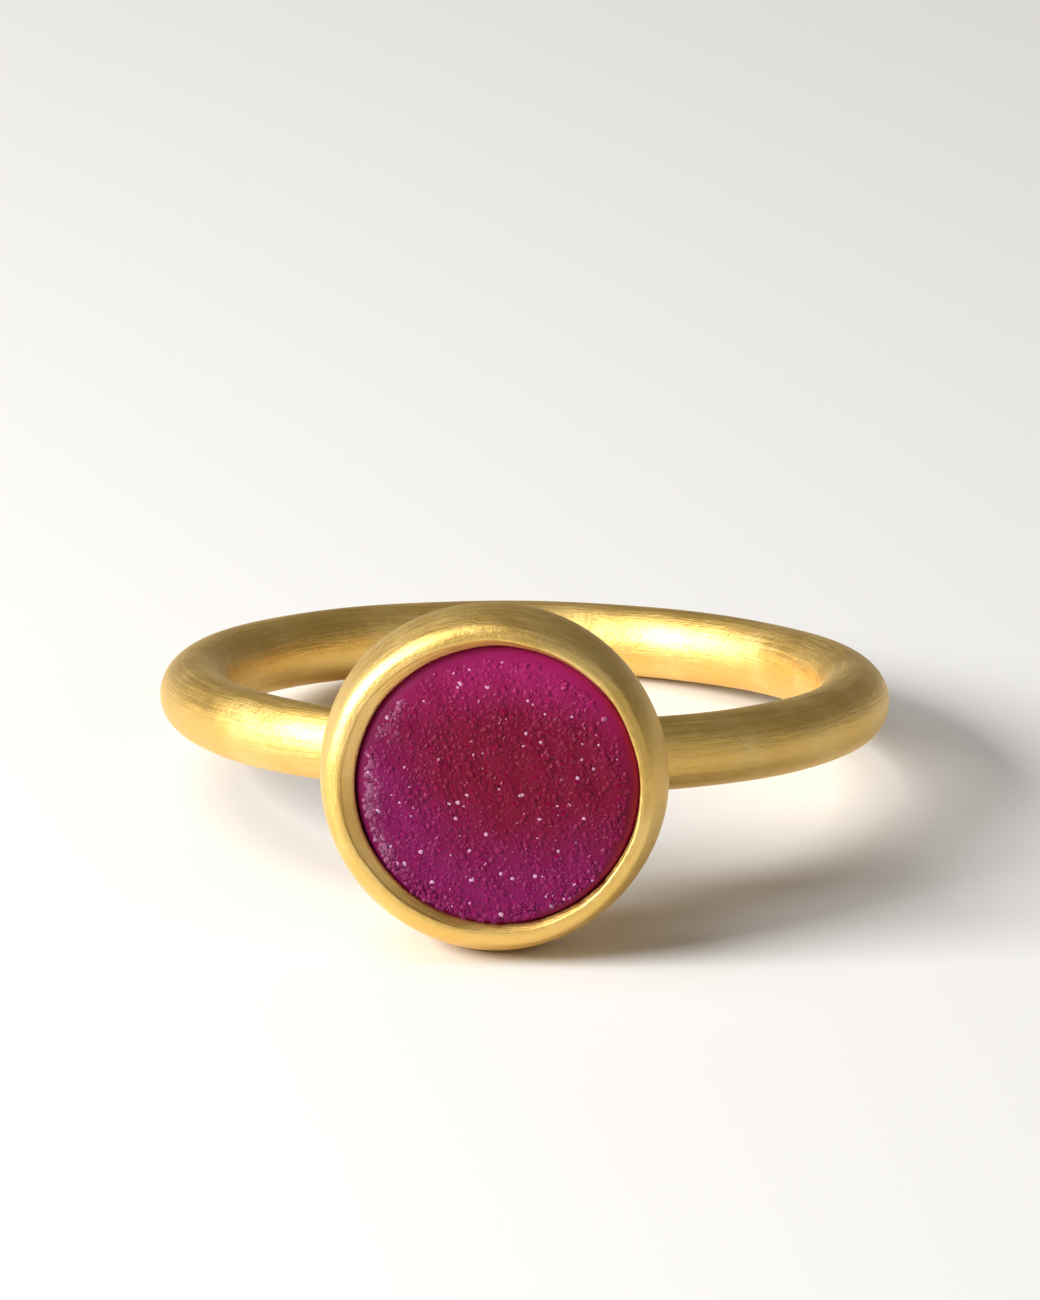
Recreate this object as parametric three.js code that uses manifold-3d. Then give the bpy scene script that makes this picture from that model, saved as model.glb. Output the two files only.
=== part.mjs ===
// A stackable finger ring lying on its side: a round-wire band with a round bezel cup soldered on, and a
// druzy stone held in the cup by its rim. Millimetres, +Z up. The ring rests on the plane z = 0 on two spots,
// the belly of the cup and the far side of the band, and the origin is under the middle of its bounding box.
import * as THREE from "three";
import { mergeVertices } from "three/addons/utils/BufferGeometryUtils.js";
import Module from "manifold-3d";

const wasm = await Module();
wasm.setup();

// Band. Its centre line is a circle in the plane z = 0 of the upright ring, whose axis is +Z.
const FINGER_HOLE_RADIUS = 8.5;
const WIRE_RADIUS = 1.05;
const BAND_RADIUS = FINGER_HOLE_RADIUS + WIRE_RADIUS;
const BAND_SEGMENTS = 80;
const WIRE_SIDES = 16;

// Cup. Heights are measured from the centre of the band, along the way that the stone faces (-Y upright).
const CUP_SEGMENTS = 72;
const BELLY_RADIUS = 4.93;
const BELLY_HEIGHT = 12.3;
const UNDER_BELLY_ARC = 2.0;
const OVER_BELLY_ARC = 4.0;
const RIM_TOP_HEIGHT = 14.05;
const RIM_ARC = 0.42;
const BASE_CORNER_HEIGHT = 11.05;
const BASE_CORNER_ARC = 1.0;
const UNDERSIDE_SLOPE = THREE.MathUtils.degToRad(12);
const SOLDER = { root: 0.98, rootHeight: 10.0, spread: 1.1, buried: 9.7 };
const REST_PAD_ANGLE = THREE.MathUtils.degToRad(8);

// Seat and stone. The seat is a little off the cup's centre, as a stone set by hand is.
const SEAT_SHIFT = { across: 0.2, along: -0.02 };
const STONE_GAP = 0.05;
const GIRDLE_RADIUS = 4.03;
const SEAT_FLOOR_HEIGHT = 11.5;
const LIP_RADIUS = 3.98;
const LIP_HEIGHT = 13.68;
const GIRDLE_TOP_HEIGHT = 13.4;
const STONE_FACE_HEIGHT = 13.84;
const STONE_FACE_RADIUS = 3.7;
const SEAT_FLARE = [
  { radius: 4.03, height: 13.8 },
  { radius: 4.12, height: 13.93 },
  { radius: 4.26, height: 14.06 },
  { radius: 4.6, height: 14.4 },
];

// A point at a distance from (radius, height), in a direction given as an angle above the horizontal.
function pointAt(centre, distance, angle) {
  return new THREE.Vector2(centre.x + distance * Math.cos(angle), centre.y + distance * Math.sin(angle));
}

// Points of an arc, from one direction of its outward normal to another.
function arc(centre, size, from, to, steps) {
  return Array.from(
    { length: steps + 1 },
    (_, i) => pointAt(centre, size, from + ((to - from) * i) / steps),
  );
}

// A small arc that touches a large one from inside, placed so that its centre is at the given height.
function innerArc(largeCentre, largeSize, size, height) {
  const lean = Math.asin((height - largeCentre.y) / (largeSize - size));
  const centre = new THREE.Vector2(largeCentre.x + (largeSize - size) * Math.cos(lean), height);
  return { centre, lean };
}

// The cup's outside, from its axis inside the wire, out under the belly, up, over the rim and back to the axis.
// One chord of the belly faces straight down when the ring is tilted, and is the pad that it rests on.
function cupProfile(tilt) {
  const under = new THREE.Vector2(BELLY_RADIUS - UNDER_BELLY_ARC, BELLY_HEIGHT);
  const over = new THREE.Vector2(BELLY_RADIUS - OVER_BELLY_ARC, BELLY_HEIGHT);
  const corner = innerArc(under, UNDER_BELLY_ARC, BASE_CORNER_ARC, BASE_CORNER_HEIGHT + BASE_CORNER_ARC);
  const rim = innerArc(over, OVER_BELLY_ARC, RIM_ARC, RIM_TOP_HEIGHT - RIM_ARC);
  const baseEdge = arc(corner.centre, BASE_CORNER_ARC, UNDERSIDE_SLOPE - Math.PI / 2, corner.lean, 5);
  const foot = SOLDER.root + SOLDER.spread;
  const footHeight = baseEdge[0].y - (baseEdge[0].x - foot) * Math.tan(UNDERSIDE_SLOPE);
  const fillet = arc(
    new THREE.Vector2(foot, SOLDER.rootHeight), SOLDER.spread, Math.PI, Math.PI / 2, 4,
  ).map((p) => new THREE.Vector2(p.x, SOLDER.rootHeight
    + ((p.y - SOLDER.rootHeight) * (footHeight - SOLDER.rootHeight)) / SOLDER.spread));
  const pad = [-1, 1].map((side) => pointAt(under, UNDER_BELLY_ARC, -tilt + (side * REST_PAD_ANGLE) / 2));
  return [
    new THREE.Vector2(0, SOLDER.buried),
    new THREE.Vector2(SOLDER.root * 0.8, SOLDER.buried),
    ...fillet,
    ...baseEdge,
    ...pad,
    ...arc(over, OVER_BELLY_ARC, 0, rim.lean, 4),
    ...arc(rim.centre, RIM_ARC, rim.lean, Math.PI / 2, 4).slice(1),
    new THREE.Vector2(0, RIM_TOP_HEIGHT),
  ];
}

// What is cut out for the stone: a flat floor, a straight wall, a lip that turns in over the stone's edge, and
// a flare up to the rim.
function seatProfile() {
  const wall = GIRDLE_RADIUS + STONE_GAP;
  const flare = SEAT_FLARE.map((p) => new THREE.Vector2(p.radius, p.height));
  return [
    new THREE.Vector2(0, SEAT_FLOOR_HEIGHT),
    new THREE.Vector2(wall, SEAT_FLOOR_HEIGHT),
    new THREE.Vector2(wall, GIRDLE_TOP_HEIGHT + STONE_GAP),
    new THREE.Vector2(LIP_RADIUS, LIP_HEIGHT),
    ...flare,
    new THREE.Vector2(0, flare[flare.length - 1].y),
  ];
}

// The stone: a disc with a straight girdle, a bevel that the lip bears on, a rounded shoulder and a low crown.
function stoneProfile() {
  const bottom = SEAT_FLOOR_HEIGHT + STONE_GAP;
  const bevelRadius = LIP_RADIUS - STONE_GAP;
  const shoulder = bevelRadius - STONE_FACE_RADIUS;
  const shoulderHeight = STONE_FACE_HEIGHT - shoulder;
  return [
    new THREE.Vector2(0, bottom),
    new THREE.Vector2(GIRDLE_RADIUS - 0.12, bottom),
    new THREE.Vector2(GIRDLE_RADIUS, bottom + 0.12),
    new THREE.Vector2(GIRDLE_RADIUS, GIRDLE_TOP_HEIGHT),
    ...arc(new THREE.Vector2(STONE_FACE_RADIUS, shoulderHeight), shoulder, 0, Math.PI / 2, 4),
    new THREE.Vector2(STONE_FACE_RADIUS / 2, STONE_FACE_HEIGHT + 0.04),
    new THREE.Vector2(0, STONE_FACE_HEIGHT + 0.05),
  ];
}

// A profile turned about the way that the stone faces, with flats and not corners towards +Z and -Z.
function turned(profile) {
  return new THREE.LatheGeometry(profile, CUP_SEGMENTS, Math.PI / CUP_SEGMENTS).rotateZ(Math.PI);
}

// The band: a wire section with one side facing straight down at the far side when the ring is tilted.
function bandGeometry(tilt) {
  const down = tilt - Math.PI / 2;
  const half = Math.PI / WIRE_SIDES;
  const section = arc(
    new THREE.Vector2(BAND_RADIUS, 0), WIRE_RADIUS, down + half, down + half + 2 * Math.PI, WIRE_SIDES,
  );
  return new THREE.LatheGeometry(section, BAND_SEGMENTS, Math.PI / BAND_SEGMENTS).rotateX(Math.PI / 2);
}

function cupGeometry(tilt) {
  return turned(cupProfile(tilt));
}

function lowest(geometry, tilt) {
  const tilted = geometry.clone().rotateX(-tilt);
  tilted.computeBoundingBox();
  return tilted.boundingBox.min.z;
}

// The tilt at which the cup and the far side of the band are equally low, found by halving.
function restTilt() {
  let [low, high] = [0.05, 0.4];
  for (let i = 0; i < 40; i++) {
    const tilt = (low + high) / 2;
    const cupIsLower = lowest(cupGeometry(tilt), tilt) < lowest(bandGeometry(tilt), tilt);
    if (cupIsLower) low = tilt;
    else high = tilt;
  }
  return (low + high) / 2;
}

function solidOf(geometry) {
  const bare = geometry.clone();
  bare.deleteAttribute("normal");
  bare.deleteAttribute("uv");
  const merged = mergeVertices(bare, 1e-5);
  return new wasm.Manifold(new wasm.Mesh({
    numProp: 3,
    vertProperties: merged.getAttribute("position").array,
    triVerts: new Uint32Array(merged.index.array),
  }));
}

function geometryOf(solid) {
  const mesh = solid.getMesh();
  const geometry = new THREE.BufferGeometry();
  geometry.setAttribute("position", new THREE.BufferAttribute(mesh.vertProperties, mesh.numProp));
  geometry.setIndex(new THREE.BufferAttribute(mesh.triVerts, 1));
  geometry.computeVertexNormals();
  return geometry;
}

// Band and cup are soldered, so they are one solid.
function bandAndCup(tilt) {
  const seat = turned(seatProfile()).translate(SEAT_SHIFT.across, 0, SEAT_SHIFT.along);
  const metal = solidOf(bandGeometry(tilt)).add(solidOf(cupGeometry(tilt))).subtract(solidOf(seat));
  const mesh = new THREE.Mesh(
    geometryOf(metal),
    new THREE.MeshStandardMaterial({ color: 0xd9a441, roughness: 0.42, metalness: 1.0 }),
  );
  mesh.name = "band_and_bezel_cup";
  return mesh;
}

function druzyStone() {
  const mesh = new THREE.Mesh(
    turned(stoneProfile()),
    new THREE.MeshStandardMaterial({ color: 0x7d1246, roughness: 0.35, metalness: 0.0 }),
  );
  mesh.position.set(SEAT_SHIFT.across, 0, SEAT_SHIFT.along);
  mesh.name = "druzy_stone";
  return mesh;
}

const tilt = restTilt();
const ring = new THREE.Group();
ring.add(bandAndCup(tilt), druzyStone());
ring.rotation.x = -tilt;
const box = new THREE.Box3().setFromObject(ring, true);
const middle = box.getCenter(new THREE.Vector3());
ring.position.set(-middle.x, -middle.y, -box.min.z);

const part = new THREE.Group();
part.add(ring);

export default part;
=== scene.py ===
"""A stackable finger ring lying on its side: a satin gold round-wire band with a bowl-shaped bezel cup soldered
on, and a raspberry druzy stone held in the cup by its rim.

The shapes are worked out in the upright ring's own frame (across, height, along), in metres: height is
measured from the centre of the band towards the stone, along is the finger's direction, and across is at
right angles to both. lay_down() then tips the ring onto its side.
"""
import math

import bpy
import numpy as np
from bpy.props import FloatProperty, FloatVectorProperty, IntProperty, PointerProperty
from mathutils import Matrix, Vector


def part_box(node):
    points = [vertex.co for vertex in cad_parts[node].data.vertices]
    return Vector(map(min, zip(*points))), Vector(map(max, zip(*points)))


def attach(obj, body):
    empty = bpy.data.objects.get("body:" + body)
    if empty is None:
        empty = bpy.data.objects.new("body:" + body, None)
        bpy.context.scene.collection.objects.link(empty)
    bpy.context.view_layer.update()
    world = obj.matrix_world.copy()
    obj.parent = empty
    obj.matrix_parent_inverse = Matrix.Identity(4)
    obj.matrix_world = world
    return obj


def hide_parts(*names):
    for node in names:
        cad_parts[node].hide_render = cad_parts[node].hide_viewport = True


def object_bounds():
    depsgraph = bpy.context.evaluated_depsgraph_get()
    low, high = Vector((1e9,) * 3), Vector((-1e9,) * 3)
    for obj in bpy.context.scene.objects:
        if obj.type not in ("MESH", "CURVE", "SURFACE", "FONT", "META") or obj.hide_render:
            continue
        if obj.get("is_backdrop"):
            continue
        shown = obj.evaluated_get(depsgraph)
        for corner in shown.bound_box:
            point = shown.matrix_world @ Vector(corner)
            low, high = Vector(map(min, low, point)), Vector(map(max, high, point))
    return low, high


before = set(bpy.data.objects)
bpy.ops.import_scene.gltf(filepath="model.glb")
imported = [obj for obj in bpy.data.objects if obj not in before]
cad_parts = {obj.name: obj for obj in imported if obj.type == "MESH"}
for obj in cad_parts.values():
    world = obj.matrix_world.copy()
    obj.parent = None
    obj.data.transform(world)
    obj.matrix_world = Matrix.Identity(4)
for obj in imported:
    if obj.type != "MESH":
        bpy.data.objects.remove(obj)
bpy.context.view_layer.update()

bl_info = {
    "name": "Stackable Druzy Ring",
    "version": (1, 0, 0),
    "blender": (4, 5, 0),
    "location": "3D View > Sidebar > Ring",
    "description": "Builds a stackable ring with a round bezel cup and a druzy stone",
    "category": "Add Mesh",
}

METAL_NODE = "band_and_bezel_cup"
STONE_NODE = "druzy_stone"
MM = 0.001
TAU = 2 * math.pi


# ---------------------------------------------------------------- sizes and colours

def length(name, description, default):
    """A size in metres."""
    return FloatProperty(name=name, description=description, default=default, min=0, unit="LENGTH", precision=5)


def colour(name, description, default):
    """A linear colour."""
    return FloatVectorProperty(
        name=name, description=description, default=default, size=3, min=0, max=1, subtype="COLOR",
    )


class RingMetal(bpy.types.PropertyGroup):
    """Sizes and colours of the band and its bezel cup"""

    finger_hole: length("Finger hole", "Diameter of the finger hole", 17.0 * MM)
    wire: length("Wire", "Diameter of the band's round wire", 2.1 * MM)
    cup_width: length("Cup width", "Diameter of the cup at its belly", 9.86 * MM)
    belly_height: length("Belly height", "From the band's centre to the belly of the cup", 12.3 * MM)
    under_arc: length("Lower curve", "Radius of the cup's side below the belly", 2.0 * MM)
    over_arc: length("Upper curve", "Radius of the cup's side above the belly", 4.0 * MM)
    rim_height: length("Rim height", "From the band's centre to the top of the rim", 14.05 * MM)
    rim_arc: length("Rim curve", "Radius of the rim's rounded top", 0.42 * MM)
    seat_across: FloatProperty(
        name="Seat offset across", description="How far off centre the stone sits, across the finger",
        default=0.2 * MM, unit="LENGTH", precision=5,
    )
    seat_along: FloatProperty(
        name="Seat offset along", description="How far off centre the stone sits, along the finger",
        default=-0.02 * MM, unit="LENGTH", precision=5,
    )
    gold: colour("Gold", "Satin gold", (0.87, 0.575, 0.16))
    worn_gold: colour("Rubbed gold", "Gold where rubbing has brightened it", (0.97, 0.72, 0.29))
    roughness: FloatProperty(name="Satin", description="Roughness of the brushed gold", default=0.46, min=0, max=1)


class RingStone(bpy.types.PropertyGroup):
    """Sizes and colours of the druzy stone"""

    width: length("Stone width", "Diameter of the stone", 8.06 * MM)
    face_height: length("Face height", "From the band's centre to the face of the stone", 13.84 * MM)
    point_spacing: length("Crystal spacing", "Distance between neighbouring crystals", 0.098 * MM)
    seed: IntProperty(name="Seed", description="Picks the crystals' places and turns", default=7)
    heart: colour("Heart", "Colour at the middle of the stone", (0.165, 0.0, 0.02))
    violet: colour("Violet", "Colour of the stone's cooler side", (0.19, 0.003, 0.075))
    edge: colour("Edge", "Colour towards the lighter edge of the stone", (0.32, 0.008, 0.105))
    # painted sheen: colour of the painted whitish reflection near the stone's left edge and of the painted glints
    painted_sheen: colour("Painted_sheen", "Colour of the palest crystals", (0.8, 0.5, 0.72))


class RingStage(bpy.types.PropertyGroup):
    """Camera, floor and light"""

    azimuth: FloatProperty(
        name="Azimuth", description="Camera's turn round the ring", default=math.radians(4), subtype="ANGLE",
    )
    elevation: FloatProperty(
        name="Elevation", description="Camera's height above the floor", default=math.radians(20.5),
        subtype="ANGLE",
    )
    distance: length("Camera distance", "From the camera to the ring", 400 * MM)
    view_width: length("View width", "Width of what the camera sees at the ring", 30 * MM)
    floor: colour("Floor", "Floor and backdrop", (0.8, 0.79, 0.77))


# ---------------------------------------------------------------- shader maths

class Signal:
    """A shader socket that can be used in an expression. Each operator adds its Math node."""

    def __init__(self, recipe, socket):
        self.recipe = recipe
        self.socket = socket

    def _math(self, operation, *values):
        return self.recipe.add("ShaderNodeMath", {"operation": operation}, dict(enumerate(values)))[0]

    def __add__(self, other):
        return self._math("ADD", self, other)

    def __sub__(self, other):
        return self._math("SUBTRACT", self, other)

    def __rsub__(self, other):
        return self._math("SUBTRACT", other, self)

    def __mul__(self, other):
        return self._math("MULTIPLY", self, other)

    __radd__ = __add__
    __rmul__ = __mul__

    def clamped(self):
        """Kept between 0 and 1."""
        return self.recipe.add("ShaderNodeClamp", {}, {"Value": self})[0]


class Recipe:
    """A material whose nodes are added one by one."""

    def __init__(self, name):
        self.material = bpy.data.materials.new(name)
        self.material.use_nodes = True
        self.tree = self.material.node_tree
        self.tree.nodes.clear()

    def add(self, kind, settings, inputs):
        """Adds a node, with its settings first and then its sockets, and returns its outputs as signals."""
        node = self.tree.nodes.new(kind)
        for name, value in settings.items():
            setattr(node, name, value)
        for key, value in inputs.items():
            socket = node.inputs[key]
            if isinstance(value, Signal):
                self.tree.links.new(value.socket, socket)
            else:
                socket.default_value = value
        return [Signal(self, output) for output in node.outputs if output.enabled]

    def noise(self, vector, scale, detail=3.0, roughness=0.5):
        """Smooth noise from 0 to 1."""
        inputs = {"Vector": vector, "Scale": scale, "Detail": detail, "Roughness": roughness}
        return self.add("ShaderNodeTexNoise", {}, inputs)[0]

    def ramp(self, value, low, high):
        """0 where the value is under low, 1 over high, and smooth between them."""
        settings = {"interpolation_type": "SMOOTHSTEP"}
        return self.add("ShaderNodeMapRange", settings, {"Value": value, "From Min": low, "From Max": high})[0]

    def mix(self, factor, first, second):
        """One colour into another."""
        settings = {"data_type": "RGBA"}
        return self.add("ShaderNodeMix", settings, {"Factor": factor, 6: first, 7: second})[0]

    def scaled(self, vector, factors):
        """A vector stretched along each of its axes."""
        return self.add("ShaderNodeMapping", {}, {"Vector": vector, "Scale": factors})[0]

    def finish(self, **sockets):
        """Ends the material in a Principled shader with these sockets."""
        inputs = {name.replace("_", " "): value for name, value in sockets.items()}
        shader = self.add("ShaderNodeBsdfPrincipled", {}, inputs)[0]
        self.add("ShaderNodeOutputMaterial", {}, {"Surface": shader})
        return self.material


def rgba(rgb):
    """A colour with an opaque alpha."""
    return (*rgb, 1.0)


BRUSHING = (420, 9000, 1)           # brush marks per metre of UV along, across
FINE_BRUSHING = (1800, 26000, 1)
BUMP_HEIGHT = 0.045 * MM


def gold_material(metal):
    """Satin gold: fine brush marks along the band and round the cup, soft dents, and brighter rubbed patches."""
    r = Recipe("satin_gold")
    place = r.add("ShaderNodeTexCoord", {}, {})[3]
    lie = r.add("ShaderNodeUVMap", {"uv_map": "brushing"}, {})[0]
    marks = r.noise(r.scaled(lie, BRUSHING), 1.0, 4.0, 0.65)
    fine_marks = r.noise(r.scaled(lie, FINE_BRUSHING), 1.0, 2.0, 0.6)
    mottle = r.noise(place, 420.0, 3.0, 0.55)
    dents = r.noise(place, 750.0, 2.0, 0.5)
    grain = r.noise(place, 8000.0, 2.0, 0.6)
    rubbed = r.ramp(mottle + (marks - 0.5) * 0.5, 0.4, 0.72)
    tone = r.mix(rubbed * 0.7, rgba(metal.gold), rgba(metal.worn_gold))
    satin = metal.roughness + (marks - 0.5) * 0.34 + (mottle - 0.5) * 0.2 + (grain - 0.5) * 0.12
    height = dents * 1.6 + marks * 0.5 + fine_marks * 0.3 + grain * 0.35
    bump = r.add("ShaderNodeBump", {}, {"Strength": 0.8, "Distance": BUMP_HEIGHT, "Height": height})[0]
    return r.finish(Base_Color=tone, Metallic=1.0, Roughness=satin.clamped(), Normal=bump)


PALE_CRYSTAL = (0.46, 0.012, 0.15, 1.0)
GLINT_SHARE = (0.978, 0.982)        # crystals whose shade is above this get a painted glint: a pale colour standing in for a sparkle of light
GLOSSY_SHARE = (0.8, 0.84)          # and above this are glossy


def druzy_material(stone):
    """Dyed crystal: a deep heart and a lighter edge, with each crystal a little lighter or darker, a painted
    whitish reflection towards the left edge, and painted glints on a few crystals.
    """
    r = Recipe("druzy")
    place = r.add("ShaderNodeTexCoord", {}, {})[3]
    edge, shade, up, left = (
        r.add("ShaderNodeAttribute", {"attribute_name": name}, {})[2] for name in ("edge", "shade", "up", "left")
    )
    cloud = r.noise(place, 330.0, 3.0, 0.6) - 0.5
    wisp = r.noise(place, 900.0, 4.0, 0.65)
    violet = r.ramp(edge * 0.55 + left * 0.3 - up * 0.4 + cloud * 0.9, 0.1, 0.75)
    pink = r.ramp(edge * 0.75 + up * 0.6 + cloud * 0.7, 0.55, 1.2)
    body = r.mix(violet, rgba(stone.heart), rgba(stone.violet))
    body = r.mix(pink, body, rgba(stone.edge))
    # painted reflection: a whitish haze towards the stone's left edge, the side the key light comes from, grainy by
    # crystal
    painted_sheen = r.ramp(edge + left * 0.35 + (wisp - 0.5) * 0.9, 1.05, 1.45)
    body = r.mix(painted_sheen * shade * 0.75, body, rgba(stone.painted_sheen))
    body = r.mix(shade * 0.12, body, PALE_CRYSTAL)
    # painted glints: a few crystals take the pale sheen colour as painted sparkle
    glint = r.ramp(shade, *GLINT_SHARE)
    body = r.mix(glint * 0.65, body, rgba(stone.painted_sheen))
    roughness = 0.48 - r.ramp(shade, *GLOSSY_SHARE) * 0.4
    return r.finish(Base_Color=body, Roughness=roughness, Specular_IOR_Level=0.2)


def floor_material(stage):
    """Plain pale matt floor."""
    r = Recipe("floor")
    return r.finish(Base_Color=rgba(stage.floor), Roughness=0.85)


# ---------------------------------------------------------------- shapes

def rest_angle(metal):
    """The lean at which the belly and the far side of the band touch the floor together.

    Below the ring's centre the belly reaches (belly radius - under arc) cos t + under arc - belly height sin t,
    and the far side of the band reaches band radius sin t + wire radius. Equal, they read A sin t - B cos t = C.
    """
    wire = metal.wire / 2
    a = metal.finger_hole / 2 + wire + metal.belly_height
    b = metal.cup_width / 2 - metal.under_arc
    c = metal.under_arc - wire
    return math.asin(c / math.hypot(a, b)) + math.atan2(b, a)


def lay_down(metal, points):
    """Points (across, height, along) of the upright ring, tipped about the across axis by the rest angle, and
    moved so that the band touches the floor and its far side ends where the solid's does."""
    t = rest_angle(metal)
    wire = metal.wire / 2
    radius = metal.finger_hole / 2 + wire
    far_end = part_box(METAL_NODE)[1][1]
    x, height, along = np.moveaxis(np.asarray(points, float), -1, 0)
    y = far_end - radius * math.cos(t) - wire - height * math.cos(t) + along * math.sin(t)
    z = radius * math.sin(t) + wire + height * math.sin(t) + along * math.cos(t)
    return np.stack([x, y, z], -1)


def swell(angle, *waves):
    """A sum of cosines of an angle, each wave given as (size, times round, phase in turns)."""
    return sum(size * np.cos(times * angle + TAU * phase) for size, times, phase in waves)


def arc(centre, radius, start, end, count):
    """Points on a circle's arc, between two directions of its outward normal in degrees above the horizontal."""
    angle = np.radians(np.linspace(start, end, count))
    return np.stack([centre[0] + radius * np.cos(angle), centre[1] + radius * np.sin(angle)], -1)


def leaning_arc(centre, large, small, height):
    """A small circle that touches a large one from inside: its centre at a height, and its lean in degrees."""
    lean = math.asin((height - centre[1]) / (large - small))
    return (centre[0] + (large - small) * math.cos(lean), height), math.degrees(lean)


def evenly(points, step):
    """A line through the points, cut again at even steps of its length."""
    travelled = np.concatenate([[0], np.cumsum(np.linalg.norm(np.diff(points, axis=0), axis=1))])
    places = np.linspace(0, travelled[-1], max(2, int(round(travelled[-1] / step)) + 1))
    return np.stack([np.interp(places, travelled, column) for column in points.T], -1)


def tube(metal, turn, round_wire):
    """The band: a torus, its wire and its circle both a little uneven, as drawn and bent by hand.

    turn is the angle round the finger from the cup, and round_wire the angle round the wire from its outside.
    """
    wire = metal.wire / 2
    radius = metal.finger_hole / 2 + wire + swell(turn, (0.02 * MM, 2, 0.1), (0.012 * MM, 3, 0.3))
    uneven = 1 + swell(turn, (0.006, 3, 0.2), (0.006, 5, 0.6), (0.005, 11, 0.4))
    uneven = uneven * (1 + 0.008 * np.cos(2 * round_wire + 3 * np.sin(turn)))
    out = radius + wire * uneven * np.cos(round_wire)
    return np.stack([out * np.sin(turn), out * np.cos(turn), wire * uneven * np.sin(round_wire)], -1)


COLUMNS = 240           # round the cup; a multiple of 4
JOINT_TURN = 0.29       # half the soldered joint's length, as an angle round the finger
JOINT_ROUND = 0.98      # half its width, as an angle round the wire
WIRE_STEPS = 64
BAND_STEPS = 280
SEAT_WALL = 4.08 * MM
SEAT_FLOOR = 11.5 * MM
SEAT_TOP = 13.45 * MM
CORNER_ARC = 1.0 * MM           # the turn from the cup's side into its underside, and its centre's height
CORNER_HEIGHT = 12.05 * MM
UNDERSIDE = math.radians(12)    # slope of the cup's underside
FOOT = (3.5 * MM, 1.95 * MM)    # half axes of the ellipse where the underside turns down into the solder
UNDER_ROWS = 14
FILLET_ROWS = 18
FILLET_LEAVES = 0.62    # how far the solder follows the cup, and the wire, as shares of the gap it bridges
FILLET_MEETS = 0.42
SECTION_STEP = 0.05 * MM
UNEVEN_FROM = 13.0 * MM         # height at which the rim's unevenness sets in, and the height it grows over
UNEVEN_OVER = 1.0 * MM
LIP_OFFSET = 0.25       # share of the seat's offset that is left where the lip meets the rim


def cup_rows(metal):
    """The cup's section as rows of (radius, height, share of the seat's offset, share of the rim's unevenness).

    It runs from the floor of the seat up its wall, in over the stone's edge, out along a bevel to the rim, down
    the rounded side past the belly and in under the cup. It is made of arcs that touch each other.
    """
    belly = metal.cup_width / 2
    over = (belly - metal.over_arc, metal.belly_height)
    under = (belly - metal.under_arc, metal.belly_height)
    rim, rim_lean = leaning_arc(over, metal.over_arc, metal.rim_arc, metal.rim_height - metal.rim_arc)
    corner, corner_lean = leaning_arc(under, metal.under_arc, CORNER_ARC, CORNER_HEIGHT)
    seat = np.array([(SEAT_WALL, SEAT_FLOOR), (SEAT_WALL, SEAT_TOP)])
    lip = np.array([
        (4.07, 13.5), (4.03, 13.57), (4.0, 13.63), (3.99, 13.68), (4.0, 13.73),
        (4.04, 13.79), (4.1, 13.86), (4.17, 13.935), (4.23, 13.99),
    ]) * MM
    crest = arc(rim, metal.rim_arc, 100, rim_lean, 12)
    side = np.concatenate([
        arc(over, metal.over_arc, rim_lean, 0, 24)[1:],
        arc(under, metal.under_arc, 0, corner_lean, 10)[1:],
        arc(corner, CORNER_ARC, corner_lean, math.degrees(UNDERSIDE) - 90, 22)[1:],
    ])
    lip = evenly(np.concatenate([lip, crest[:1]]), SECTION_STEP)[:-1]
    section = np.concatenate([seat, lip, crest, side])
    offset = np.concatenate([
        np.ones(len(seat) + len(lip) // 2),
        np.linspace(1, LIP_OFFSET, len(lip) - len(lip) // 2),
        np.linspace(LIP_OFFSET, 0, len(crest)),
        np.zeros(len(side)),
    ])
    height = section[:, 1]
    unevenness = np.clip((height - UNEVEN_FROM) / UNEVEN_OVER, 0, 1) ** 1.5
    unevenness[: len(seat)] = 0
    return np.column_stack([section, offset, unevenness])


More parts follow.
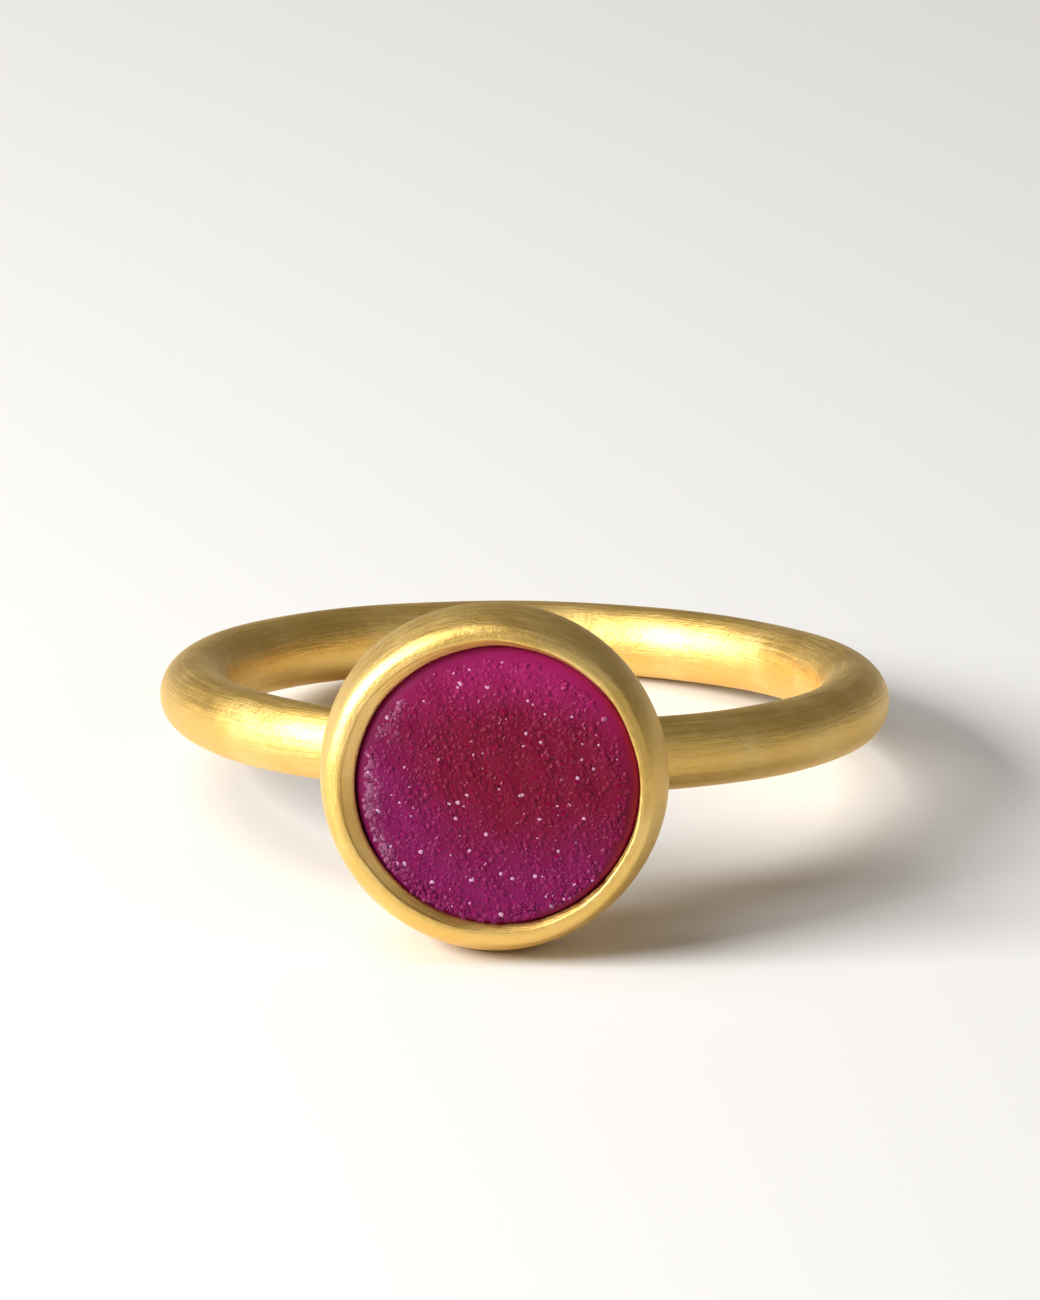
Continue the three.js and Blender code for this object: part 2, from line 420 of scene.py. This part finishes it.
def cup_surface(metal):
    """The cup as a grid of rows and columns, from the seat's floor to the soldered joint on the band.

    A column at azimuth a stands at radius (cos a, sin a) from the cup's axis, moved with the seat's offset. The
    rim's height and radius swell by a few thousandths, as a rim pressed over by hand does. Under the cup the
    columns draw in from a circle to an ellipse, and a cubic Bezier in each column then turns down onto the wire,
    leaving the cup and meeting the wire along their own surfaces.
    """
    a = TAU * np.arange(COLUMNS) / COLUMNS
    radius, height, offset, uneven = cup_rows(metal).T[:, :, None]
    pushed = swell(a, (0.035 * MM, 2, 0.1), (0.025 * MM, 3, 0.45), (0.012 * MM, 7, 0.2), (0.008 * MM, 13, 0.7))
    raised = swell(a, (0.09 * MM, 1, -0.375), (0.03 * MM, 3, 0.2), (0.012 * MM, 8, 0.5))
    bulge = swell(a, (0.03 * MM, 2, 0.3), (0.02 * MM, 3, 0.8), (0.012 * MM, 5, 0.1))
    belly = np.exp(-((height - metal.belly_height) / (1.6 * MM)) ** 2) * (radius > 4.3 * MM)
    out = radius + uneven * pushed + belly * bulge
    across = out * np.cos(a) + offset * metal.seat_across
    along = out * np.sin(a) + offset * metal.seat_along
    wall = np.stack([across, height + uneven * raised, along], -1)

    slope = math.tan(UNDERSIDE)
    edge = wall[-1]
    plan = np.stack([FOOT[0] * np.cos(a), FOOT[1] * np.sin(a)], -1)
    share = np.linspace(0, 1, UNDER_ROWS)[1:, None, None]
    under = edge[None, :, [0, 2]] * (1 - share) + plan * share
    inward = np.linalg.norm(edge[:, [0, 2]], axis=-1) - np.linalg.norm(under, axis=-1)
    floor = edge[None, :, 1] - inward * slope
    under = np.stack([under[..., 0], floor, under[..., 1]], -1)

    start = under[-1]
    end = tube(metal, JOINT_TURN * np.cos(a), JOINT_ROUND * np.sin(a))
    leave = unit(under[-1] - under[-2])
    round_joint = np.roll(end, -1, 0) - np.roll(end, 1, 0)
    wire_normal = unit(end - band_centre(metal, JOINT_TURN * np.cos(a)))
    meet = unit(np.cross(round_joint, wire_normal))
    outward = np.stack([np.cos(a), np.zeros_like(a), np.sin(a)], -1)
    meet = meet * np.sign(np.sum(meet * outward, -1, keepdims=True))
    reach = np.linalg.norm(end - start, axis=-1, keepdims=True)
    s = np.linspace(0, 1, FILLET_ROWS)[1:, None, None]
    fillet = (
        (1 - s) ** 3 * start
        + 3 * (1 - s) ** 2 * s * (start + leave * reach * FILLET_LEAVES)
        + 3 * (1 - s) * s ** 2 * (end - meet * reach * FILLET_MEETS)
        + s ** 3 * end
    )
    return np.concatenate([wall, under, fillet])


def unit(vectors):
    """Vectors of length 1."""
    return vectors / np.linalg.norm(vectors, axis=-1, keepdims=True)


def band_centre(metal, turn):
    """The wire's centre line."""
    radius = metal.finger_hole / 2 + metal.wire / 2
    return np.stack([radius * np.sin(turn), radius * np.cos(turn), np.zeros_like(turn)], -1)


def metal_surface(metal):
    """Band and cup as one closed surface: points, four-sided faces, the seat's three-sided faces, and for each
    face corner how far it is along and across the brushing.

    The band is a grid of stations round the finger by steps round the wire. Over the soldered joint its steps
    start and end on the cup's last row, whose points it shares. The brushing is measured both ways from the
    opposite side of each closed turn, so it has no seam.
    """
    cup = cup_surface(metal)
    rows = len(cup)
    quarter = COLUMNS // 4
    joint = JOINT_TURN * np.cos(np.pi * np.arange(2 * quarter + 1) / (2 * quarter))
    joint_half = JOINT_ROUND * np.sin(np.pi * np.arange(2 * quarter + 1) / (2 * quarter))
    rest = np.linspace(-JOINT_TURN, JOINT_TURN - TAU, BAND_STEPS + 1)[1:-1]
    turn = np.concatenate([joint, rest])
    half = np.concatenate([joint_half, np.zeros_like(rest)])
    steps = np.linspace(0, 1, WIRE_STEPS + 1)
    round_wire = half[:, None] + (TAU - 2 * half[:, None]) * steps
    band = tube(metal, np.broadcast_to(turn[:, None], round_wire.shape), round_wire)

    inner = band[:, 1:-1].reshape(-1, 3)
    seam = band[len(joint):, 0]
    centre = np.array([[cup[0, :, 0].mean(), cup[0, 0, 1], cup[0, :, 2].mean()]])
    points = np.concatenate([cup.reshape(-1, 3), inner, seam, centre])

    first_inner = rows * COLUMNS
    first_seam = first_inner + len(inner)
    loop = (rows - 1) * COLUMNS + np.arange(COLUMNS)
    index = np.empty(round_wire.shape, int)
    index[:, 1:-1] = first_inner + np.arange(len(inner)).reshape(len(turn), -1)
    index[: len(joint), 0] = loop[: len(joint)]
    index[: len(joint), -1] = loop[-np.arange(len(joint)) % COLUMNS]
    index[len(joint):, 0] = index[len(joint):, -1] = first_seam + np.arange(len(rest))

    band_faces = grid_faces(index, wrap_rows=True)
    cup_index = np.arange(rows * COLUMNS).reshape(rows, COLUMNS)
    cup_index = np.concatenate([cup_index, cup_index[:, :1]], 1)
    cup_faces = grid_faces(cup_index)
    fan = np.stack([np.full(COLUMNS, len(points) - 1), cup_index[0, 1:], cup_index[0, :-1]], -1)

    stations = np.append(turn, turn[0] - TAU)
    stations = np.abs(stations - stations[0] + np.pi)
    turns = np.abs(np.append(round_wire, round_wire[:1], 0) - np.pi)
    band_uv = np.stack(np.broadcast_arrays(
        stations[:, None] * metal.finger_hole / 2, turns * metal.wire / 2,
    ), -1)
    around = np.abs(TAU * np.arange(COLUMNS + 1) / COLUMNS - np.pi) * metal.cup_width / 2
    down = np.concatenate([[0], np.cumsum(np.linalg.norm(np.diff(cup[:, 0], axis=0), axis=-1))])
    cup_uv = np.stack(np.broadcast_arrays(around[None, :], down[:, None]), -1)
    quads = np.concatenate([band_faces, cup_faces])
    quad_uv = np.concatenate([grid_corners(band_uv), grid_corners(cup_uv)])
    fan_uv = np.zeros((len(fan), 3, 2))
    return points, quads, fan, np.concatenate([quad_uv.reshape(-1, 2), fan_uv.reshape(-1, 2)])


def grid_corners(grid):
    """The four corners of each cell of a grid, in order."""
    return np.stack([grid[:-1, :-1], grid[1:, :-1], grid[1:, 1:], grid[:-1, 1:]], 2).reshape(-1, 4, *grid.shape[2:])


def grid_faces(index, wrap_rows=False):
    """A four-sided face for each cell of a grid of point numbers."""
    if wrap_rows:
        index = np.concatenate([index, index[:1]])
    return grid_corners(index)


STONE_BOTTOM = 11.55 * MM
GIRDLE_TOP = 13.4 * MM
BASE_BEVEL = 0.12 * MM
STONE_COLUMNS = 160
BUMP = 0.05 * MM            # height of the crust's low bumps
BARE_EDGE = 0.27 * MM       # between the stone's edge and the crust
BARE_EDGE_MORE = 0.06 * MM  # more of it all round, where the crust thins out
CRUST_MIDDLE = (-0.04 * MM, -0.13 * MM)     # the crust leaves a wider edge on the opposite side
CRYSTAL_DEPTH = 0.12 * MM   # how far a crystal's sides go below the surface
JITTER = 0.2                # of the honeycomb's places, as a share of the spacing
TALLNESS = (0.16, 0.4)      # of a crystal's point, as shares of its size
ROUGH_SHOULDER = 0.11       # unevenness of the ring its point stands on
LEAN, STEEPEST = 0.13, 0.6  # usual and greatest tip of a crystal, in radians
CRYSTAL_POINTS = 13         # a ring of six below the surface, six at the shoulder, and the tip


def stone_rows(stone):
    """The stone's section as (radius, height): base, girdle, a smooth bevel, and a low dome."""
    radius = stone.width / 2
    face = stone.face_height
    return np.concatenate([
        np.array([
            (radius - BASE_BEVEL, STONE_BOTTOM), (radius, STONE_BOTTOM + BASE_BEVEL), (radius, GIRDLE_TOP),
        ]),
        evenly(np.array([
            (radius - 0.02 * MM, face - 0.34 * MM), (radius - 0.05 * MM, face - 0.22 * MM),
            (radius - 0.11 * MM, face - 0.13 * MM), (radius - 0.2 * MM, face - 0.07 * MM),
            (radius - 0.36 * MM, face - 0.02 * MM), (radius - 0.6 * MM, face + 0.01 * MM),
        ]), SECTION_STEP),
        evenly(np.array([(radius - 0.7 * MM, face + 0.015 * MM), (0.05 * MM, face + 0.05 * MM)]), 2 * SECTION_STEP),
    ])


def stone_bumps(x, y):
    """Low bumps of the crystal crust: a sum of sines in eight directions."""
    rng = np.random.default_rng(11)
    total = np.zeros_like(x)
    for _ in range(8):
        heading = rng.uniform(0, TAU)
        wave = TAU / (rng.uniform(0.7, 2.4) * MM)
        total += np.sin((x * np.cos(heading) + y * np.sin(heading)) * wave + rng.uniform(0, TAU))
    return total / 8


def stone_body(metal, stone):
    """The stone as a closed surface of revolution, its face bumped where the crust is: points, four-sided faces
    and the two fans that close it."""
    a = TAU * np.arange(STONE_COLUMNS) / STONE_COLUMNS
    radius, height = stone_rows(stone).T[:, :, None]
    x = radius * np.cos(a)
    y = radius * np.sin(a)
    crust = np.clip((stone.width / 2 - 0.45 * MM - radius) / (0.3 * MM), 0, 1) * (height > GIRDLE_TOP)
    z = height + crust * stone_bumps(x, y) * BUMP
    grid = np.stack([x + metal.seat_across, z, y + metal.seat_along], -1)
    rows = len(grid)
    index = np.arange(rows * STONE_COLUMNS).reshape(rows, STONE_COLUMNS)
    index = np.concatenate([index, index[:, :1]], 1)
    ends = np.array([
        (metal.seat_across, grid[0, 0, 1], metal.seat_along),
        (metal.seat_across, grid[-1, :, 1].mean(), metal.seat_along),
    ])
    points = np.concatenate([grid.reshape(-1, 3), ends])
    base = np.stack([np.full(STONE_COLUMNS, len(points) - 2), index[0, 1:], index[0, :-1]], -1)
    top = np.stack([np.full(STONE_COLUMNS, len(points) - 1), index[-1, :-1], index[-1, 1:]], -1)
    return points, grid_faces(index), np.concatenate([base, top])


def crystals(metal, stone):
    """The crust: six-sided quartz points on a jittered honeycomb, each tipped and turned its own way.

    Returns (points, a shade for each point), with the points of each crystal in a row: a ring below the
    surface, a ring at its shoulder, and its tip.
    """
    rng = np.random.default_rng(stone.seed)
    step = stone.point_spacing
    reach = stone.width / 2 - BARE_EDGE
    count = int(reach / step) + 2
    i, j = np.meshgrid(np.arange(-count, count + 1), np.arange(-2 * count, 2 * count + 1))
    x = ((i + 0.5 * (j % 2)) * step).ravel()
    y = (j * step * math.sqrt(0.75)).ravel()
    x = x + rng.normal(0, JITTER, len(x)) * step
    y = y + rng.normal(0, JITTER, len(y)) * step
    spread = reach - BARE_EDGE_MORE + rng.normal(0, 0.4, len(x)) * step
    kept = np.hypot(x - CRUST_MIDDLE[0], y - CRUST_MIDDLE[1]) < spread
    x, y = x[kept], y[kept]
    number = len(x)
    size = step * np.clip(rng.lognormal(-0.32, 0.25, number), 0.45, 1.3)
    shade = rng.uniform(0, 1, number)
    # the crystals that get the painted glint are a little smaller
    size = size * np.where(shade > 0.975, 0.8, 1.0)
    tall = size * rng.uniform(*TALLNESS, number)
    base = stone.face_height + 0.03 * MM - 0.035 * MM * (np.hypot(x, y) / reach) ** 2
    base = base + stone_bumps(x, y) * BUMP + rng.normal(0, 0.012, number) * MM

    spin = rng.uniform(0, TAU, number)[:, None] + TAU * np.arange(6) / 6
    ring = np.stack([np.cos(spin), np.zeros_like(spin), np.sin(spin)], -1) * size[:, None, None]
    down = np.array([0, -1.0, 0])
    low = ring * 0.9 + down * CRYSTAL_DEPTH
    shoulder = ring * rng.uniform(0.85, 1.1, (number, 6, 1))
    shoulder[..., 1] += rng.normal(0, ROUGH_SHOULDER, (number, 6)) * size[:, None]
    tip = np.zeros((number, 1, 3))
    tip[..., 1] = tall[:, None]
    shape = np.concatenate([low, shoulder, tip], 1)

    lean = np.clip(np.abs(rng.normal(0, LEAN, number)), 0, STEEPEST)
    heading = rng.uniform(0, TAU, number)
    axis = np.stack([np.cos(heading), np.zeros(number), np.sin(heading)], -1)[:, None, :]
    cos, sin = np.cos(lean)[:, None, None], np.sin(lean)[:, None, None]
    turned = shape * cos + np.cross(np.broadcast_to(axis, shape.shape), shape) * sin
    turned = turned + axis * np.sum(axis * shape, -1, keepdims=True) * (1 - cos)
    centre = np.stack([x + metal.seat_across, base, y + metal.seat_along], -1)
    return (turned + centre[:, None, :]).reshape(-1, 3), np.repeat(shade, CRYSTAL_POINTS)


def stone_values(metal, stone, points, shade):
    """Where points lie on the stone, as shares of its radius: out from its middle, up and to the left of it as it
    faces the viewer with the ring lying down, and the shade given."""
    left = (metal.seat_across - points[:, 0]) / (stone.width / 2)
    up = (points[:, 2] - metal.seat_along) / (stone.width / 2)
    return {"edge": np.hypot(left, up), "up": up, "left": left, "shade": shade}


def crystal_faces(number):
    """Faces of the crystals: six sides, six of the point and one base each."""
    k = np.arange(6)
    n = (k + 1) % 6
    sides = np.stack([k, n, n + 6, k + 6], -1)
    point = np.stack([k + 6, n + 6, np.full(6, 12)], -1)
    start = CRYSTAL_POINTS * np.arange(number)[:, None, None]
    base = (start[:, :, 0] + k[::-1])
    return (start + sides).reshape(-1, 4), (start + point).reshape(-1, 3), base


# ---------------------------------------------------------------- objects

def outward(points, groups):
    """The same faces, all turned over if the surface encloses a negative volume."""
    volume = 0.0
    for faces in groups:
        first = points[faces[:, 0]]
        for k in range(1, faces.shape[1] - 1):
            volume += np.einsum("ij,ij->i", first, np.cross(points[faces[:, k]], points[faces[:, k + 1]])).sum()
    if volume >= 0:
        return groups, False
    return [faces[:, ::-1] for faces in groups], True


def put_object(name, points, groups, material, smooth=True, corners=None, values=None):
    """A mesh object at the origin from points and groups of faces with the same number of sides."""
    groups, flipped = outward(points, groups)
    mesh = bpy.data.meshes.new(name)
    sizes = np.concatenate([np.full(len(faces), faces.shape[1]) for faces in groups])
    loops = np.concatenate([faces.ravel() for faces in groups])
    mesh.vertices.add(len(points))
    mesh.vertices.foreach_set("co", points.astype(np.float32).ravel())
    mesh.loops.add(len(loops))
    mesh.loops.foreach_set("vertex_index", loops.astype(np.int32))
    mesh.polygons.add(len(sizes))
    mesh.polygons.foreach_set("loop_start", (np.cumsum(sizes) - sizes).astype(np.int32))
    mesh.polygons.foreach_set("use_smooth", np.full(len(sizes), smooth))
    if corners is not None:
        if flipped:
            cut = np.cumsum([faces.size for faces in groups])[:-1]
            corners = np.concatenate([
                part.reshape(*faces.shape, 2)[:, ::-1].reshape(-1, 2)
                for part, faces in zip(np.split(corners, cut), groups)
            ])
        layer = mesh.uv_layers.new(name="brushing")
        layer.data.foreach_set("uv", corners.astype(np.float32).ravel())
    for attribute, numbers in (values or {}).items():
        mesh.attributes.new(attribute, "FLOAT", "POINT").data.foreach_set("value", numbers.astype(np.float32))
    mesh.update(calc_edges=True)
    if mesh.validate():
        raise RuntimeError(f"{name} has faces that can't be kept")
    mesh.materials.append(material)
    piece = bpy.data.objects.new(name, mesh)
    bpy.context.scene.collection.objects.link(piece)
    return piece


class RING_OT_metal(bpy.types.Operator):
    """Makes the band and its soldered bezel cup"""

    bl_idname = "ring.metal"
    bl_label = "Band and Cup"

    def execute(self, context):
        metal = context.scene.ring_metal
        points, quads, fan, corners = metal_surface(metal)
        piece = put_object(
            "gold_band_and_cup", lay_down(metal, points), [quads, fan], gold_material(metal), corners=corners,
        )
        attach(piece, "root")
        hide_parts(METAL_NODE)
        return {"FINISHED"}


class RING_OT_stone(bpy.types.Operator):
    """Makes the stone and its crust of crystals"""

    bl_idname = "ring.stone"
    bl_label = "Druzy Stone"

    def execute(self, context):
        metal, stone = context.scene.ring_metal, context.scene.ring_stone
        material = druzy_material(stone)
        points, quads, fans = stone_body(metal, stone)
        values = stone_values(metal, stone, points, np.zeros(len(points)))
        body = put_object("druzy_body", lay_down(metal, points), [quads, fans], material, values=values)
        points, shade = crystals(metal, stone)
        faces = crystal_faces(len(points) // CRYSTAL_POINTS)
        values = stone_values(metal, stone, points, shade)
        crust = put_object("druzy_crystals", lay_down(metal, points), faces, material, False, values=values)
        for piece in (body, crust):
            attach(piece, "root")
            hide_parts(STONE_NODE)
        return {"FINISHED"}


def area_light(name, place, aim, size, power, tint=(1, 1, 1)):
    """A soft rectangular light that faces a point."""
    light = bpy.data.lights.new(name, "AREA")
    light.shape = "RECTANGLE"
    light.size, light.size_y = size
    light.energy = power
    light.color = tint
    lamp = bpy.data.objects.new(name, light)
    lamp.location = place
    lamp.rotation_euler = (aim - Vector(place)).to_track_quat("-Z", "Y").to_euler()
    bpy.context.scene.collection.objects.link(lamp)


FLOOR_REACH = 3.0           # metres from the ring to the floor's edges
FRAME_SHAPE = 1040 / 1300   # width of the picture by its height


class RING_OT_stage(bpy.types.Operator):
    """Makes the floor, the lights and the camera"""

    bl_idname = "ring.stage"
    bl_label = "Stage"

    def execute(self, context):
        scene = context.scene
        stage = scene.ring_stage
        low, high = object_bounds()
        middle = (low + high) / 2
        across, along = np.meshgrid((-FLOOR_REACH, FLOOR_REACH), (-FLOOR_REACH, FLOOR_REACH))
        points = np.stack([across, along, np.zeros_like(across)], -1).reshape(-1, 3)
        floor = put_object("floor", points, [np.array([[0, 1, 3, 2]])], floor_material(stage))
        floor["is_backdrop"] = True

        area_light("key", (-0.22, -0.1, 0.14), middle, (0.16, 0.12), 1.25)
        area_light("fill", (0.2, -0.12, 0.12), middle, (0.16, 0.16), 0.05)
        area_light("top", (-0.12, 0.0, 0.24), middle, (0.16, 0.16), 0.25)

        world = bpy.data.worlds.new("studio")
        world.use_nodes = True
        sky = world.node_tree.nodes["Background"]
        sky.inputs["Color"].default_value = (1.0, 0.94, 0.87, 1.0)
        sky.inputs["Strength"].default_value = 0.16
        scene.world = world
        scene.view_settings.view_transform = "Standard"

        camera = bpy.data.cameras.new("camera")
        camera.sensor_width = 36
        camera.lens = camera.sensor_width * FRAME_SHAPE * stage.distance / stage.view_width
        camera.clip_start = 0.01
        camera.clip_end = 10
        eye = bpy.data.objects.new("camera", camera)
        back = Vector((
            math.sin(stage.azimuth) * math.cos(stage.elevation),
            -math.cos(stage.azimuth) * math.cos(stage.elevation),
            math.sin(stage.elevation),
        ))
        eye.location = middle + back * stage.distance
        eye.rotation_euler = (-back).to_track_quat("-Z", "Y").to_euler()
        scene.collection.objects.link(eye)
        scene.camera = eye
        return {"FINISHED"}


class RING_PT_panel(bpy.types.Panel):
    """Lists the ring's settings and its steps"""

    bl_label = "Stackable Ring"
    bl_idname = "RING_PT_panel"
    bl_space_type = "VIEW_3D"
    bl_region_type = "UI"
    bl_category = "Ring"

    def draw(self, context):
        scene = context.scene
        steps = (
            (scene.ring_metal, RING_OT_metal), (scene.ring_stone, RING_OT_stone), (scene.ring_stage, RING_OT_stage),
        )
        for group, operator in steps:
            box = self.layout.box()
            for name in type(group).__annotations__:
                box.prop(group, name)
            box.operator(operator.bl_idname)


CLASSES = (RingMetal, RingStone, RingStage, RING_OT_metal, RING_OT_stone, RING_OT_stage, RING_PT_panel)


def register():
    for cls in CLASSES:
        bpy.utils.register_class(cls)
    bpy.types.Scene.ring_metal = PointerProperty(type=RingMetal)
    bpy.types.Scene.ring_stone = PointerProperty(type=RingStone)
    bpy.types.Scene.ring_stage = PointerProperty(type=RingStage)


def unregister():
    del bpy.types.Scene.ring_stage
    del bpy.types.Scene.ring_stone
    del bpy.types.Scene.ring_metal
    for cls in reversed(CLASSES):
        bpy.utils.unregister_class(cls)


def main():
    register()
    bpy.ops.ring.metal()
    bpy.ops.ring.stone()
    bpy.ops.ring.stage()


if __name__ == "__main__":
    main()
